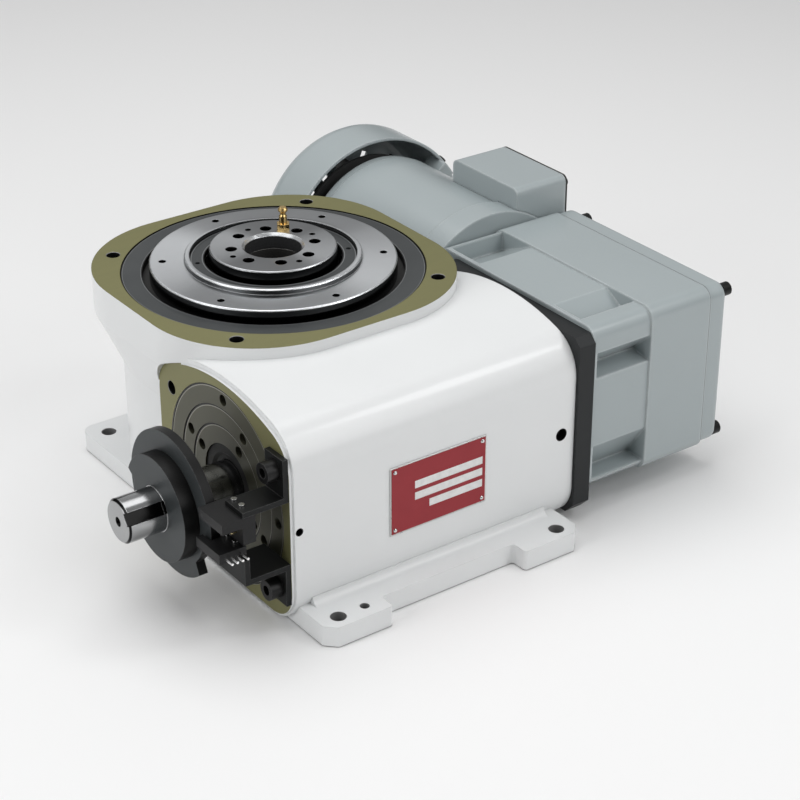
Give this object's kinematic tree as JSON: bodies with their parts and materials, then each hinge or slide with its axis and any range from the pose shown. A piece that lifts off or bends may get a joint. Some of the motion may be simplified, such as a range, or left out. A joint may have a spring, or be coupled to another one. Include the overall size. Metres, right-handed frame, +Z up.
{
  "type": "rotary index drive",
  "caption": "Cam-driven rotary index drive: white cast housing with a polished turning table, keyed input shaft with timing cams and sensors, and a right-angle gear motor.",
  "frame": {"origin": "output axis at the plane of the base's underside", "axes": "+Z up along the output axis, +X along the input shaft from its keyed tip towards the gear motor, -Y towards the nameplate side"},
  "size_m": [0.4192, 0.368, 0.1769],
  "materials": {
    "casting": "white gloss paint, olive machined faces",
    "machine_steel": "machined",
    "polished_steel": "polished",
    "dark_ring": "dark grey, satin",
    "face_ring": "dark taupe, machined",
    "seal_rubber": "matte black",
    "brass": "plain",
    "plate_red": "dark red, blank",
    "rivet": "bright",
    "black_oxide": "black, satin",
    "black_screw": "black oxide",
    "sensor_plastic": "matte black",
    "motor_paint": "light blue-grey, satin",
    "core_steel": "laminated",
    "winding": "varnished copper",
    "fan_plastic": "moulded"
  },
  "bodies": {
    "frame": {"housing": "casting", "bottom_cover": "machine_steel", "center_post": "machine_steel", "rear_carrier": "machine_steel", "output_bearing_outer_race": "machine_steel", "cam_bearing_cups": "machine_steel", "gear_motor_bearings": "machine_steel", "center_hub": "polished_steel", "bearing_cover_ring": "dark_ring", "front_carrier": "face_ring", "front_adjust_ring": "face_ring", "front_retainer": "face_ring", "output_seal": "seal_rubber", "shaft_seals": "seal_rubber", "terminal_gasket": "seal_rubber", "grease_nipple": "brass", "nameplate": "plate_red", "nameplate_rivets": "rivet", "sensor_pins": "rivet", "sensor_screws": "rivet", "sensor_bracket_upper": "black_oxide", "sensor_bracket_lower": "black_oxide", "adapter_plate": "black_oxide", "sensor_bracket_bolts": "black_screw", "front_ring_screws": "black_screw", "adapter_bolts": "black_screw", "gear_case_bolts": "black_screw", "bottom_cover_screws": "black_screw", "motor_screws": "black_screw", "sensor_upper": "sensor_plastic", "sensor_lower": "sensor_plastic", "gear_case": "motor_paint", "gear_case_cover": "motor_paint", "motor_frame": "motor_paint", "motor_end_shield": "motor_paint", "fan_cover": "motor_paint", "terminal_box": "motor_paint", "terminal_lid": "motor_paint", "stator_core": "core_steel", "stator_windings": "winding"},
    "output": {"output_table": "polished_steel", "inner_retainer": "dark_ring", "turret": "machine_steel", "follower_studs": "machine_steel", "follower_rollers": "machine_steel", "output_bearing_inner_race": "machine_steel"},
    "camshaft": {"input_shaft": "polished_steel", "roller_gear_cam": "machine_steel", "cam_bearing_cones": "machine_steel", "timing_cam_front": "black_oxide", "timing_cam_rear": "black_oxide", "shaft_key": "machine_steel", "gear_output_shaft": "machine_steel", "output_gear": "machine_steel"},
    "counter": {"counter_shaft": "machine_steel", "crown_gear": "machine_steel"},
    "rotor": {"rotor_shaft": "machine_steel", "rotor_core": "core_steel", "cooling_fan": "fan_plastic"}
  },
  "joints": [
    {"name": "camshaft_turn", "type": "hinge", "parent": "frame", "child": "camshaft", "pos_m": [0, -0.1, 0.067], "axis": [1, 0, 0], "continuous": true},
    {"name": "output_turn", "type": "hinge", "parent": "frame", "child": "output", "pos_m": [0, 0, 0.14], "axis": [0, 0, 1], "continuous": true},
    {"name": "counter_turn", "type": "hinge", "parent": "frame", "child": "counter", "pos_m": [0.15, -0.05647, 0.0776], "axis": [1, 0, 0], "continuous": true},
    {"name": "rotor_turn", "type": "hinge", "parent": "frame", "child": "rotor", "pos_m": [0.167, 0.05, 0.0776], "axis": [0, 1, 0], "continuous": true}
  ],
  "couplings": [
    {"joint": "output_turn", "follows": "camshaft_turn", "ratio": 0.083333},
    {"joint": "counter_turn", "follows": "camshaft_turn", "ratio": -3},
    {"joint": "rotor_turn", "follows": "camshaft_turn", "ratio": -12}
  ]
}
